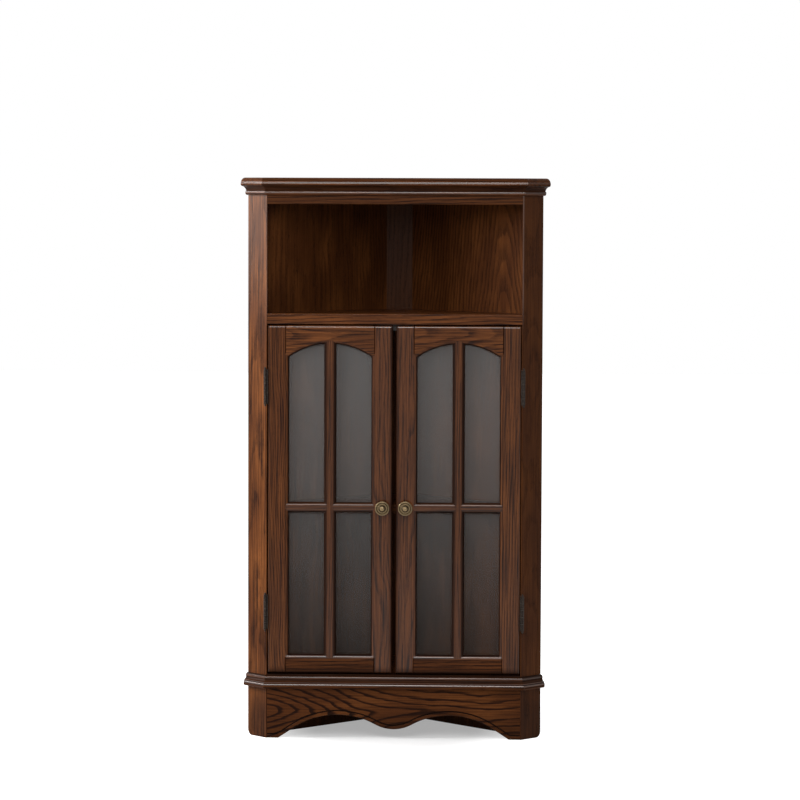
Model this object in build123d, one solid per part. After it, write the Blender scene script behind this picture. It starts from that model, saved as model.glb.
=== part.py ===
from build123d import *
import os
from math import atan2, cos, degrees, hypot, radians, sin, sqrt, tan

# A corner display cabinet in dark stained oak: two canted front posts, two walls that run back
# at 45 degrees to a rear post, an open niche above and two glazed doors with arched heads below.
# Millimetres. While it is modelled, the front of the doors and rails is the plane y = 0, +Y runs
# back into the corner of the room, +X is to the right and the floor is z = 0.

os.makedirs("parts", exist_ok=True)
ROOT_2 = sqrt(2)
SAME_PLACE = 0.01         # points closer than this count as one

# The plan, seen from above
FRONT_WIDTH = 546.5       # across the front, between the sharp edges of the two canted posts
POST_FRONT = 1.75         # flat left on each post between its canted face and the opening
CANT_DEPTH = 42.0         # how far back each canted face runs, at 45 degrees
WALL_THICKNESS = 18.0
REAR_POST_FACE = 57.0     # width of the rear post's face in the niche
REAR_FLAT = 50.0          # width of the cut-off corner at the very back
POST_BACK = 5.9           # sideways step from a front post's inner face to the wall
POST_REBATE = 24.0        # from the canted face back to the end of the wall board
POST_ARRIS = 1.6          # rounding of the canted faces' vertical edges
FOOT_ROUND = 13.0         # rounding of a foot's lower corner, next to the wall board
OPENING_ARRIS = 0.8       # rounding of the posts' edges beside the opening

# Heights above the floor
HEIGHT = 1200.0
TOP_THICKNESS = 18.0
CORNICE_HEIGHT = 19.0
TOP_RAIL_HEIGHT = 38.0
NICHE_HEIGHT = 233.0      # clear height of the open niche
NICHE_FLOOR_THICKNESS = 22.0
CABINET_FLOOR_TOP = 138.0
CABINET_FLOOR_THICKNESS = 18.0
CROSS_BAR_HEIGHT = 497.4  # middle of the doors' cross bars, and of their knobs
SHELF_DROP = 6.4          # middle of the display shelf below the middle of the cross bars
SHELF_THICKNESS = 18.0
BASE_MOULDING_DROP = 2.0  # base moulding's top below the top of the cabinet floor
BASE_MOULDING_HEIGHT = 28.0

# Top board, rails and boards
TOP_OVERHANG = 21.5
NOSE_TOP_RADIUS = 13.0
NOSE_BOTTOM_RADIUS = 4.5
RAIL_THICKNESS = 20.0
RAIL_ARRIS = 1.5
HOUSING_DEPTH = 5.0       # how far the two floors are let into the walls
SHELF_FRONT = 35.0        # from the front plane back to the shelf's edge
SHELF_CLEARANCE = 1.0
SHELF_ARRIS = 2.0
PIN_RADIUS = 2.5
PIN_LENGTH = 22.0
PIN_IN_WALL = 10.0
PIN_INSET = 45.0          # from each end of a wall board to its shelf pin
PIN_CLEARANCE = 0.05

# Cornice: a cove over a bead
CORNICE_COVE_TOP = 17.0
CORNICE_COVE_FOOT = 6.0
CORNICE_BEAD_REACH = 8.5
CORNICE_FOOT = 4.5
CORNICE_BEAD_HEIGHT = 9.0
CORNICE_BEAD_MIDDLE = 5.4 # where the bead is widest, above the cornice's foot
QUIRK = 1.0               # small flat between a bead and the cove next to it
COVE_DEPTH = 0.25         # how far a cove sinks from its chord towards its corner, as a share
MITRE_SPARE = 30.0        # extra length of a moulding before its mitres are cut

# Base moulding: a quarter round over a cove over a thick nose, with a small fillet between them
BASE_TOP_REACH = 6.4
BASE_TOP_LEDGE = 1.8      # reach of the quarter round where it starts
BASE_TOP_HEIGHT = 8.0     # of the quarter round with its lip
BASE_TOP_LIP = 1.5
BASE_FILLET_REACH = 11.0
BASE_FILLET_TOP = 13.5    # above the moulding's foot
BASE_NOSE_REACH = 12.9
BASE_NOSE_HEIGHT = 12.0
BASE_NOSE_ROUND = 4.5

# Apron between the front posts
APRON_THICKNESS = 18.0
APRON_FOOT = 24.0         # flat that stands on the floor beside each post
FOOT_SLOPE = 33.2         # slope in degrees of the straight cut between an arch and its foot
ARCH_HEIGHT = 51.0        # top of the two arches above the floor
LOBE_HEIGHT = 20.4        # lowest point of the middle lobe above the floor
LOBE_RADIUS = 81.7
APRON_BEAD = 8.0
APRON_GROOVE = 2.4
APRON_GROOVE_DEPTH = 3.0
APRON_BEAD_ROUND = 1.8

# Glue blocks
BLOCK_SIDE = 25.0
BLOCK_LENGTH = 80.0
TOP_BLOCK_OFFSET = 130.0
APRON_BLOCK_OFFSET = 60.0

# Doors
DOOR_THICKNESS = 20.0
SIDE_GAP = 1.5            # between a door and its post
DOOR_GAP = 3.0            # above and below the doors
MEETING_GAP = 8.0
DOOR_ARRIS = 4.0          # rounding round each door's front
STILE_WIDTH = 45.0
BOTTOM_RAIL_WIDTH = 40.0
CROWN_RAIL_WIDTH = 39.0   # door's top edge down to the top of the arch
DOOR_ARCH_RISE = 28.0
STICKING_WIDTH = 7.0      # moulded inner edge of the door frame
STICKING_STEP = 0.4
STICKING_LIP = 0.6
TONGUE = 10.0             # thickness of the wood in front of the glass
GLASS_REBATE = 6.0
GLASS_THICKNESS = 4.0
GLASS_CLEARANCE = 0.5
GLAZING_CHAMFER = 2.5
TENON_LENGTH = 25.0
TENON_THICKNESS = 8.0
TENON_SHOULDER = 6.0
UPRIGHT_WIDTH = 26.0
CROSS_BAR_WIDTH = 22.0
BAR_ROUND = 7.5
JOINT_GROOVE = 1.3        # half width and depth of the fine line where a rail meets a stile

# Knobs
KNOB_INSET = 20.5         # from the door's free edge to the middle of its knob
KNOB_RADIUS = 15.5
KNOB_REACH = 28.0
KNOB_BASE_RADIUS = 8.5
KNOB_FOOT = 1.5
KNOB_NECK_RADIUS = 5.5
KNOB_NECK_END = 8.0
KNOB_FACE = 20.5          # the rim's front, from the door
KNOB_RIM = 4.5
KNOB_GROOVE = 1.2
KNOB_RING_RADIUS = 10.0
KNOB_DOME_RADIUS = 8.4
KNOB_SCREW_RADIUS = 2.0
KNOB_SCREW_DEPTH = 9.0
KNOB_SCREW_HEAD_RADIUS = 4.0
KNOB_SCREW_HEAD = 2.2
KNOB_SCREW_HEAD_ROUND = 1.1
KNOB_SCREW_CLEARANCE = 0.25
SCREW_CLEARANCE = 0.05
SCREW_TIP = 2.5
SCREW_POINT_RADIUS = 0.5

# Hinges
HINGE_INSET = 131.0       # middle of each hinge from the door's top or bottom
BARREL_LENGTH = 74.0
BARREL_RADIUS = 3.2
BARREL_SEGMENTS = 5
SEGMENT_GAP = 0.25
HINGE_OUTSET = 3.7        # pin, outwards from the post's inner face
HINGE_STANDOFF = 0.2      # barrel and bent leaf clear of the front plane
PIN_ROD_RADIUS = 1.5
PIN_RUNNING_FIT = 0.05
FINIAL_LENGTH = 5.0
FINIAL_RADIUS = 2.4
FINIAL_COLLAR = 0.6
FINIAL_NECK_RADIUS = 1.4
FINIAL_NECK_END = 1.3
LEAF_THICKNESS = 1.2
LEAF_GAP = 0.4
FRAME_LEAF_DEPTH = 22.0
DOOR_LEAF_DEPTH = 17.0
HINGE_SCREW_SPACING = 26.0
HINGE_SCREW_RADIUS = 1.5
HINGE_SCREW_HEAD_RADIUS = 2.7
HINGE_SCREW_LENGTH = 12.0
FRAME_SCREW_DEPTH = 15.0
DOOR_SCREW_DEPTH = 9.0

# Magnetic catch for both doors, under the niche floor
CATCH_WIDTH = 60.0
CATCH_DEPTH = 14.0
CATCH_HEIGHT = 14.0
CATCH_EAR = 9.0
CATCH_EAR_THICKNESS = 4.0
CATCH_AIR_GAP = 0.4
CATCH_SCREW_HEAD = 1.2    # depth of the countersink in the ears
MAGNET_WIDTH = 18.0
MAGNET_HEIGHT = 8.0
MAGNET_DEPTH = 10.0
MAGNET_PROUD = 0.4
STRIKE_WIDTH = 22.0
STRIKE_HEIGHT = 10.0
STRIKE_THICKNESS = 1.2
STRIKE_CORNER = 2.5
STRIKE_SCREW_LENGTH = 6.5
STRIKE_OFFSET = 17.0      # middle of each strike plate and magnet from the middle of the cabinet

# Values that follow from the sizes above
front_half = FRONT_WIDTH / 2
opening_half = front_half - POST_FRONT
outer_line = front_half + 2 * CANT_DEPTH
inner_line = outer_line - WALL_THICKNESS * ROOT_2
post_inner_depth = inner_line - opening_half - 2 * POST_BACK
rear_y = outer_line - REAR_FLAT / 2
rear_post_y = inner_line - REAR_POST_FACE / 2
wall_front_line = front_half - POST_REBATE * ROOT_2
wall_rear_line = REAR_POST_FACE / 2 - rear_post_y
carcass_top = HEIGHT - TOP_THICKNESS
niche_top = carcass_top - TOP_RAIL_HEIGHT
niche_floor_top = niche_top - NICHE_HEIGHT
middle_y = (rear_y - KNOB_REACH) / 2
shelf_bottom = CROSS_BAR_HEIGHT - SHELF_DROP - SHELF_THICKNESS / 2
niche_floor_bottom = niche_floor_top - NICHE_FLOOR_THICKNESS
cabinet_floor_bottom = CABINET_FLOOR_TOP - CABINET_FLOOR_THICKNESS
base_moulding_bottom = CABINET_FLOOR_TOP - BASE_MOULDING_DROP - BASE_MOULDING_HEIGHT

# The apron's arches: each touches the middle lobe's curve and the straight cut at its foot
apron_end = opening_half - APRON_FOOT
foot_turn = radians(FOOT_SLOPE)
arch_share = tan(foot_turn / 2)
arch_drop = ARCH_HEIGHT - LOBE_HEIGHT
arch_span = apron_end - ARCH_HEIGHT / tan(foot_turn)
arch_half_sum = arch_span * arch_share + arch_drop
arch_rest = arch_span ** 2 + arch_drop ** 2 - 2 * arch_drop * LOBE_RADIUS
arch_root = sqrt(arch_half_sum ** 2 - arch_share ** 2 * arch_rest)
arch_radius = (arch_half_sum - arch_root) / arch_share ** 2
arch_offset = arch_span - arch_radius * arch_share

door_bottom = CABINET_FLOOR_TOP + DOOR_GAP
door_top = niche_floor_bottom - DOOR_GAP
door_inner_x = MEETING_GAP / 2
door_outer_x = opening_half - SIDE_GAP
sight_inner_x = door_inner_x + STILE_WIDTH
sight_outer_x = door_outer_x - STILE_WIDTH
sight_bottom = door_bottom + BOTTOM_RAIL_WIDTH
crown_z = door_top - CROWN_RAIL_WIDTH
glass_middle_x = (sight_inner_x + sight_outer_x) / 2
half_sight = (sight_outer_x - sight_inner_x) / 2
door_arch_radius = (half_sight ** 2 + DOOR_ARCH_RISE ** 2) / (2 * DOOR_ARCH_RISE)
door_arch_z = crown_z - door_arch_radius
sticking_round = STICKING_WIDTH - STICKING_LIP
round_y = STICKING_STEP + sticking_round
bottom_tenon = (door_bottom + TENON_SHOULDER, sight_bottom - GLASS_REBATE - TENON_SHOULDER)
top_tenon = (crown_z + GLASS_REBATE + TENON_SHOULDER, door_top - TENON_SHOULDER)
knob_x = door_inner_x + KNOB_INSET

hinge_x = opening_half + HINGE_OUTSET
hinge_y = -BARREL_RADIUS - HINGE_STANDOFF
hinge_heights = [door_bottom + HINGE_INSET, door_top - HINGE_INSET]
gap_middle_x = opening_half - SIDE_GAP / 2
frame_leaf_x = gap_middle_x + LEAF_GAP / 2
door_leaf_x = gap_middle_x - LEAF_GAP / 2
catch_front = DOOR_THICKNESS + STRIKE_THICKNESS + CATCH_AIR_GAP + MAGNET_PROUD
catch_bottom = niche_floor_bottom - CATCH_HEIGHT
strike_z = catch_bottom + STRIKE_HEIGHT / 2


# Helpers

def block(x0, x1, y0, y1, z0, z1):
    """A box between two corners."""
    box = Box(x1 - x0, y1 - y0, z1 - z0)
    return Pos((x0 + x1) / 2, (y0 + y1) / 2, (z0 + z1) / 2) * box


def prism(points, bottom, top):
    """An outline in plan, stood up between two heights."""
    outline = make_face(Polyline(*points, close=True))
    return extrude(Pos(0, 0, bottom) * outline, top - bottom)


def both_sides(points):
    """Points down the right side, followed by their mirror images back up the left side."""
    return points + [(-x, y) for x, y in reversed(points)]


def rod(radius, start, end, end_radius=None):
    """A round bar or cone between two points."""
    length = (Vector(*end) - Vector(*start)).length
    plane = Plane(origin=start, z_dir=Vector(*end) - Vector(*start))
    if end_radius is None:
        solid = Cylinder(radius, length)
    else:
        solid = Cone(radius, end_radius, length)
    return plane * Pos(0, 0, length / 2) * solid


def vertical_edges(solid, *places):
    """The upright edges of a solid that stand at the given places in plan."""
    found = []
    for edge in solid.edges().filter_by(Axis.Z):
        centre = edge.center()
        if any(hypot(centre.X - x, centre.Y - y) < SAME_PLACE for x, y in places):
            found.append(edge)
    return found


def mirrored(shape):
    return mirror(shape, about=Plane.YZ)


def at_wall(across, along):
    """A point in plan, from its place across the right wall and its place along it."""
    return (across + along) / 2, (across - along) / 2


def cove(start, end, corner):
    """A hollow curve between two points of a profile, sunk towards a corner."""
    chord_x = (start[0] + end[0]) / 2
    chord_y = (start[1] + end[1]) / 2
    middle_x = chord_x + COVE_DEPTH * (corner[0] - chord_x)
    middle_y = chord_y + COVE_DEPTH * (corner[1] - chord_y)
    return ThreePointArc(start, (middle_x, middle_y), end)


def save(node, *pieces):
    """Write one sub-part, moved so that the origin is under the middle of the cabinet."""
    solids = [solid for piece in pieces for solid in piece.solids()]
    shape = solids[0] if len(solids) == 1 else Compound(solids)
    export_step(Pos(0, -middle_y, 0) * shape, f"parts/{node}.step")


def save_pair(name, *pieces):
    """Write a right-hand sub-part and its mirror image."""
    save("right_" + name, *pieces)
    save("left_" + name, *[mirrored(piece) for piece in pieces])


# Posts and walls

def front_post():
    """The right post: canted in front, with a rebate behind that takes the wall board."""
    points = [
        (opening_half, 0),
        (front_half, 0),
        (front_half + CANT_DEPTH, CANT_DEPTH),
        at_wall(outer_line, wall_front_line),
        at_wall(inner_line, wall_front_line),
        (opening_half + POST_BACK, post_inner_depth + POST_BACK),
        (opening_half, post_inner_depth),
    ]
    post = prism(points, 0, carcass_top)
    foot_edges = post.faces().sort_by(Axis.Z)[0].edges()
    post = fillet(foot_edges.sort_by(lambda edge: edge.center().X)[-1], FOOT_ROUND)
    post = fillet(vertical_edges(post, points[1]), POST_ARRIS)
    return fillet(vertical_edges(post, points[0]), OPENING_ARRIS)


def wall_board():
    """The right wall, from the rebate in the front post to the side of the rear post."""
    points = [
        at_wall(inner_line, wall_front_line),
        at_wall(outer_line, wall_front_line),
        at_wall(outer_line, wall_rear_line),
        at_wall(inner_line, wall_rear_line),
    ]
    return prism(points, 0, carcass_top)


def rear_post():
    """The post in the corner: its face shows in the niche, the walls meet its two sides."""
    side = WALL_THICKNESS / ROOT_2
    half = REAR_POST_FACE / 2
    points = both_sides([(half, rear_post_y), (half + side, rear_post_y + side), (REAR_FLAT / 2, rear_y)])
    return prism(points, 0, carcass_top)


def shelf_pin_lines():
    """Where the shelf pins enter the right wall, as points on its inner face."""
    inset = PIN_INSET * ROOT_2
    height = shelf_bottom - PIN_RADIUS
    places = [at_wall(inner_line, wall_front_line - inset), at_wall(inner_line, wall_rear_line + inset)]
    return [(x, y, height) for x, y in places]


def shelf_pin(point, radius, in_wall, in_room):
    """A round pin square to the wall, through a point on its face."""
    outwards = Vector(1, 1, 0).normalized()
    start = Vector(*point) + outwards * in_wall
    end = Vector(*point) - outwards * in_room
    return rod(radius, tuple(start), tuple(end))


# Boards that fill the plan

def floor_board(front_y, bottom, top):
    """A floor let into both walls and notched round the front posts."""
    tongue = HOUSING_DEPTH / ROOT_2
    points = both_sides([
        (opening_half, front_y),
        (opening_half, post_inner_depth),
        (opening_half + POST_BACK, post_inner_depth + POST_BACK),
        (opening_half + POST_BACK + tongue, post_inner_depth + POST_BACK + tongue),
        (REAR_POST_FACE / 2 + tongue, rear_post_y + tongue),
        (REAR_POST_FACE / 2, rear_post_y),
    ])
    return prism(points, bottom, top)


def display_shelf():
    """The loose shelf, a little smaller than the space, resting on four pins."""
    inset = SHELF_CLEARANCE
    wall_line = inner_line - inset * ROOT_2
    side_x = opening_half - inset
    rear = rear_post_y - inset
    points = both_sides([
        (side_x, SHELF_FRONT),
        (side_x, wall_line - side_x),
        (wall_line - rear, rear),
    ])
    shelf = prism(points, shelf_bottom, shelf_bottom + SHELF_THICKNESS)
    front_edges = shelf.edges().filter_by(Axis.X).sort_by(Axis.Y)[:2]
    return fillet(front_edges, SHELF_ARRIS)


def top_board():
    """The top, moulded to a rounded nose on its front and canted edges, flush with the walls."""
    reach = TOP_OVERHANG
    corner = (front_half + reach * (ROOT_2 - 1), -reach)
    wall_corner = (front_half + CANT_DEPTH + reach / ROOT_2, CANT_DEPTH - reach / ROOT_2)
    points = both_sides([corner, wall_corner, (REAR_FLAT / 2, rear_y)])
    board = prism(points, carcass_top, HEIGHT)

    def nose_edges(solid, height):
        edges = solid.edges().filter_by(lambda edge: abs(edge.center().Z - height) < SAME_PLACE)
        return [edge for edge in edges if edge.center().Y < wall_corner[1]]

    board = fillet(nose_edges(board, HEIGHT), NOSE_TOP_RADIUS)
    return fillet(nose_edges(board, carcass_top), NOSE_BOTTOM_RADIUS)


def front_rail(bottom, top):
    """A rail between the posts, with its two long front edges eased."""
    rail = block(-opening_half, opening_half, 0, RAIL_THICKNESS, bottom, top)
    front_edges = rail.faces().sort_by(Axis.Y)[0].edges().filter_by(Axis.X)
    return fillet(front_edges, RAIL_ARRIS)


# Mouldings

def cornice_profile():
    """Section of the cornice: outwards, then up from its foot."""
    bead_top = CORNICE_BEAD_HEIGHT
    cove_foot = (CORNICE_COVE_FOOT, bead_top + QUIRK)
    bead_end = (CORNICE_COVE_FOOT + QUIRK, bead_top)
    head = (CORNICE_COVE_TOP, CORNICE_HEIGHT)
    return make_face([
        Line((0, CORNICE_HEIGHT), (0, 0)),
        Line((0, 0), (CORNICE_FOOT, 0)),
        ThreePointArc((CORNICE_FOOT, 0), (CORNICE_BEAD_REACH, CORNICE_BEAD_MIDDLE), bead_end),
        Line(bead_end, (CORNICE_COVE_FOOT, bead_top)),
        Line((CORNICE_COVE_FOOT, bead_top), cove_foot),
        cove(cove_foot, head, (CORNICE_COVE_FOOT, CORNICE_HEIGHT)),
        Line(head, (0, CORNICE_HEIGHT)),
    ])


def base_profile():
    """Section of the base moulding: outwards, then up from its foot."""
    height = BASE_MOULDING_HEIGHT
    nose_x = BASE_NOSE_REACH - BASE_NOSE_ROUND
    nose_high = BASE_NOSE_HEIGHT - BASE_NOSE_ROUND
    fillet_foot = nose_high + sqrt(BASE_NOSE_ROUND ** 2 - (BASE_FILLET_REACH - nose_x) ** 2)
    nose_turn = degrees(atan2(fillet_foot - nose_high, BASE_FILLET_REACH - nose_x))
    lip_foot = height - BASE_TOP_HEIGHT
    lip_top = lip_foot + BASE_TOP_LIP
    cove_head = (BASE_TOP_REACH - QUIRK, lip_foot)
    round_middle = (
        BASE_TOP_LEDGE + (BASE_TOP_REACH - BASE_TOP_LEDGE) / ROOT_2,
        lip_top + (height - lip_top) / ROOT_2,
    )
    return make_face([
        Line((0, height), (0, 0)),
        Line((0, 0), (nose_x, 0)),
        CenterArc((nose_x, BASE_NOSE_ROUND), BASE_NOSE_ROUND, -90, 90),
        Line((BASE_NOSE_REACH, BASE_NOSE_ROUND), (BASE_NOSE_REACH, nose_high)),
        CenterArc((nose_x, nose_high), BASE_NOSE_ROUND, 0, nose_turn),
        Line((BASE_FILLET_REACH, fillet_foot), (BASE_FILLET_REACH, BASE_FILLET_TOP)),
        cove((BASE_FILLET_REACH, BASE_FILLET_TOP), cove_head, (cove_head[0], BASE_FILLET_TOP)),
        Line(cove_head, (BASE_TOP_REACH, lip_foot)),
        Line((BASE_TOP_REACH, lip_foot), (BASE_TOP_REACH, lip_top)),
        ThreePointArc((BASE_TOP_REACH, lip_top), round_middle, (BASE_TOP_LEDGE, height)),
        Line((BASE_TOP_LEDGE, height), (0, height)),
    ])


def mitred_lengths(profile, foot_z):
    """Right cant, front and left cant lengths of a moulding, mitred where they meet."""
    corners = [
        Vector(front_half + CANT_DEPTH, CANT_DEPTH, foot_z),
        Vector(front_half, 0, foot_z),
        Vector(-front_half, 0, foot_z),
        Vector(-front_half - CANT_DEPTH, CANT_DEPTH, foot_z),
    ]
    directions = [(corners[i + 1] - corners[i]).normalized() for i in range(3)]
    lengths = []
    for i, direction in enumerate(directions):
        outwards = Vector(-direction.Y, direction.X, 0)
        start = corners[i] - direction * MITRE_SPARE
        plane = Plane(origin=start, x_dir=outwards, z_dir=direction)
        run = (corners[i + 1] - corners[i]).length + 2 * MITRE_SPARE
        piece = extrude(plane * profile, run, dir=direction)
        for corner, inwards, neighbour in (
            (corners[i], direction, directions[i - 1] if i > 0 else direction),
            (corners[i + 1], direction * -1, directions[i + 1] if i < 2 else direction),
        ):
            cut_normal = (direction + neighbour).normalized()
            cut_normal = cut_normal if cut_normal.dot(inwards) > 0 else cut_normal * -1
            piece = split(piece, bisect_by=Plane(origin=corner, z_dir=cut_normal), keep=Keep.TOP)
        lengths.append(piece)
    return lengths


# Apron

def apron_edge(rise):
    """The scalloped lower edge of the apron, moved up into the wood by a distance."""
    arch_z = ARCH_HEIGHT - arch_radius
    arch = arch_radius + rise
    lobe_z = LOBE_HEIGHT + LOBE_RADIUS
    lobe = LOBE_RADIUS - rise
    turn = atan2(arch_offset, lobe_z - arch_z)
    lobe_middle = (lobe * sin(turn / 2), lobe_z - lobe * cos(turn / 2))
    meet = (lobe * sin(turn), lobe_z - lobe * cos(turn))
    leave = (arch_offset + arch * sin(foot_turn), arch_z + arch * cos(foot_turn))
    foot_x = apron_end + rise * arch_share
    return [
        ThreePointArc((0, LOBE_HEIGHT + rise), lobe_middle, meet),
        ThreePointArc(meet, (arch_offset, ARCH_HEIGHT + rise), leave),
        Line(leave, (foot_x, rise)),
        Line((foot_x, rise), (opening_half, rise)),
    ]


def apron_area(low_rise, high_edges):
    """The area between the lower edge and whatever closes it above, right and left together."""
    right = Wire([*apron_edge(low_rise), *high_edges])
    half = make_face(right.edges())
    return half + mirror(half, about=Plane.YZ)


def front_apron():
    """The apron board, with a bead worked along its scalloped edge."""
    def standing(area, thickness):
        return extrude(Plane.XZ * area, thickness, dir=(0, 1, 0))

    rise = APRON_BEAD
    top = cabinet_floor_bottom
    closing = [
        Line((opening_half, 0), (opening_half, top)),
        Line((opening_half, top), (0, top)),
        Line((0, top), (0, LOBE_HEIGHT)),
    ]
    board = standing(apron_area(0, closing), APRON_THICKNESS)
    groove_top = rise + APRON_GROOVE
    groove_closing = [
        Line((opening_half, rise), (opening_half, groove_top)),
        *apron_edge(groove_top),
        Line((0, LOBE_HEIGHT + groove_top), (0, LOBE_HEIGHT + rise)),
    ]
    board -= standing(apron_area(rise, groove_closing), APRON_GROOVE_DEPTH)
    bead_face = board.faces().filter_by(Axis.Y).sort_by(Axis.Y)[:2].sort_by(Axis.Z)[0]
    bead_edges = [edge for edge in bead_face.edges() if abs(edge.center().X) < opening_half - SAME_PLACE]
    return fillet(bead_edges, APRON_BEAD_ROUND)


# Door frame, built for the right door

def door_envelope():
    """The door's outline with its front edges rounded: every member is trimmed to it."""
    envelope = block(door_inner_x, door_outer_x, 0, DOOR_THICKNESS, door_bottom, door_top)
    return fillet(envelope.faces().sort_by(Axis.Y)[0].edges(), DOOR_ARRIS)


def member_section(width):
    """Section of a frame member: x from its outer edge to the sight line, y from front to back."""
    joint = width - STICKING_WIDTH
    return make_face([
        Line((0, 0), (joint, 0)),
        Line((joint, 0), (joint, STICKING_STEP)),
        CenterArc((joint, round_y), sticking_round, -90, 90),
        Line((joint + sticking_round, round_y), (width, round_y)),
        Line((width, round_y), (width, TONGUE)),
        Line((width, TONGUE), (width - GLASS_REBATE, TONGUE)),
        Line((width - GLASS_REBATE, TONGUE), (width - GLASS_REBATE, DOOR_THICKNESS)),
        Line((width - GLASS_REBATE, DOOR_THICKNESS), (0, DOOR_THICKNESS)),
        Line((0, DOOR_THICKNESS), (0, 0)),
    ])


def lying(section, x0, x1, height):
    """Run a section between two places across the door: its x goes up, its y goes back."""
    plane = Plane(origin=(x1, 0, height), x_dir=(0, 0, 1), z_dir=(-1, 0, 0))
    return extrude(plane * section, x1 - x0)


def tenon(x0, x1, heights):
    low, high = heights
    return block(min(x0, x1), max(x0, x1), TENON_SHOULDER, TENON_SHOULDER + TENON_THICKNESS, low, high)


def full_tenon(heights):
    """Both tenons of a rail, as one bar that runs through it."""
    reach = STICKING_WIDTH + TENON_LENGTH
    return tenon(sight_inner_x - reach, sight_outer_x + reach, heights)


def stile(outer_x, side):
    """A stile with mortises for both rails. side is 1 where its sight line is to the right."""
    section = member_section(STILE_WIDTH)
    if side < 0:
        section = mirrored(section)
    blank = extrude(Pos(outer_x, 0, door_bottom) * section, door_top - door_bottom)
    sight = outer_x + side * STILE_WIDTH
    for heights in (bottom_tenon, top_tenon):
        blank -= tenon(sight, sight - side * (STICKING_WIDTH + TENON_LENGTH), heights)
    return blank & door_envelope()


def bottom_rail(stiles):
    """The bottom rail: moulded along its top edge and coped over both stiles."""
    section = member_section(BOTTOM_RAIL_WIDTH)
    rail = lying(section, sight_inner_x - STICKING_WIDTH, sight_outer_x + STICKING_WIDTH, door_bottom)
    rail += full_tenon(bottom_tenon)
    return (rail & door_envelope()) - stiles


def arched_rail(stiles):
    """The top rail: its moulded edge follows the arch, its rebate behind is cut straight."""
    low = crown_z - DOOR_ARCH_RISE - 2 * STICKING_WIDTH
    x0 = sight_inner_x - STICKING_WIDTH
    x1 = sight_outer_x + STICKING_WIDTH
    rail = block(x0, x1, 0, DOOR_THICKNESS, low, door_top)
    joint = door_arch_radius + STICKING_WIDTH
    front = -TONGUE
    back = DOOR_THICKNESS + TONGUE
    hollow = revolve(make_face([
        Line((0, front), (joint, front)),
        Line((joint, front), (joint, STICKING_STEP)),
        CenterArc((joint, round_y), sticking_round, 180, 90),
        Line((joint - sticking_round, round_y), (door_arch_radius, round_y)),
        Line((door_arch_radius, round_y), (door_arch_radius, back)),
        Line((door_arch_radius, back), (0, back)),
        Line((0, back), (0, front)),
    ]), axis=Axis.Y)
    rail -= Pos(glass_middle_x, 0, door_arch_z) * hollow
    rail -= block(0, opening_half, TONGUE, DOOR_THICKNESS, 0, crown_z + GLASS_REBATE)
    rail += full_tenon(top_tenon)
    return (rail & door_envelope()) - stiles


def joint_grooves():
    """A fine line cut into the front along each joint between a rail and a stile."""
    grooves = []
    for x in (sight_inner_x - STICKING_WIDTH, sight_outer_x + STICKING_WIDTH):
        section = [(x - JOINT_GROOVE, 0), (x + JOINT_GROOVE, 0), (x, JOINT_GROOVE)]
        grooves.append(prism(section, door_bottom, sight_bottom - STICKING_WIDTH))
        grooves.append(prism(section, crown_z - DOOR_ARCH_RISE + STICKING_WIDTH, door_top))
    return grooves


def bar_section(width):
    """Section of a glazing bar: flat in front with rounded shoulders, flat on the glass behind."""
    half = width / 2
    return make_face([
        Line((-half, TONGUE), (-half, STICKING_STEP + BAR_ROUND)),
        CenterArc((BAR_ROUND - half, STICKING_STEP + BAR_ROUND), BAR_ROUND, 180, 90),
        Line((BAR_ROUND - half, STICKING_STEP), (half - BAR_ROUND, STICKING_STEP)),
        CenterArc((half - BAR_ROUND, STICKING_STEP + BAR_ROUND), BAR_ROUND, 270, 90),
        Line((half, STICKING_STEP + BAR_ROUND), (half, TONGUE)),
        Line((half, TONGUE), (-half, TONGUE)),
    ])


def upright_bar(rails):
    """The upright glazing bar, coped over the bottom rail and the arch."""
    start = Pos(glass_middle_x, 0, sight_bottom - STICKING_WIDTH)
    blank = extrude(start * bar_section(UPRIGHT_WIDTH), crown_z - sight_bottom + 2 * STICKING_WIDTH)
    return blank - rails


def cross_bars(stiles, upright):
    """Two cross bars, each coped to a stile and to the upright bar."""
    section = bar_section(CROSS_BAR_WIDTH)
    blank = lying(section, sight_inner_x - STICKING_WIDTH, sight_outer_x + STICKING_WIDTH, CROSS_BAR_HEIGHT)
    return blank - stiles - upright


# Glass and what holds it

def door_glass():
    """One sheet behind all the bars, in the frame's rebate."""
    edge = GLASS_REBATE - GLASS_CLEARANCE
    return block(
        sight_inner_x - edge, sight_outer_x + edge, TONGUE, TONGUE + GLASS_THICKNESS,
        sight_bottom - edge, crown_z + edge,
    )


def glazing_beads():
    """Four mitred strips that hold the glass in its rebate from behind."""
    width = GLASS_REBATE
    inner = [
        (sight_inner_x, sight_bottom),
        (sight_outer_x, sight_bottom),
        (sight_outer_x, crown_z),
        (sight_inner_x, crown_z),
    ]
    outer = [
        (sight_inner_x - width, sight_bottom - width),
        (sight_outer_x + width, sight_bottom - width),
        (sight_outer_x + width, crown_z + width),
        (sight_inner_x - width, crown_z + width),
    ]
    beads = []
    for i in range(4):
        after = (i + 1) % 4
        outline = make_face(Polyline(outer[i], outer[after], inner[after], inner[i], close=True))
        start = Plane.XZ.offset(-TONGUE - GLASS_THICKNESS)
        strip = extrude(start * outline, DOOR_THICKNESS - TONGUE - GLASS_THICKNESS, dir=(0, 1, 0))
        inner_middle = ((inner[i][0] + inner[after][0]) / 2, (inner[i][1] + inner[after][1]) / 2)
        edge = strip.edges().sort_by_distance((inner_middle[0], DOOR_THICKNESS, inner_middle[1]))[0]
        beads.append(chamfer(edge, GLAZING_CHAMFER))
    return beads


# Knob

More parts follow.
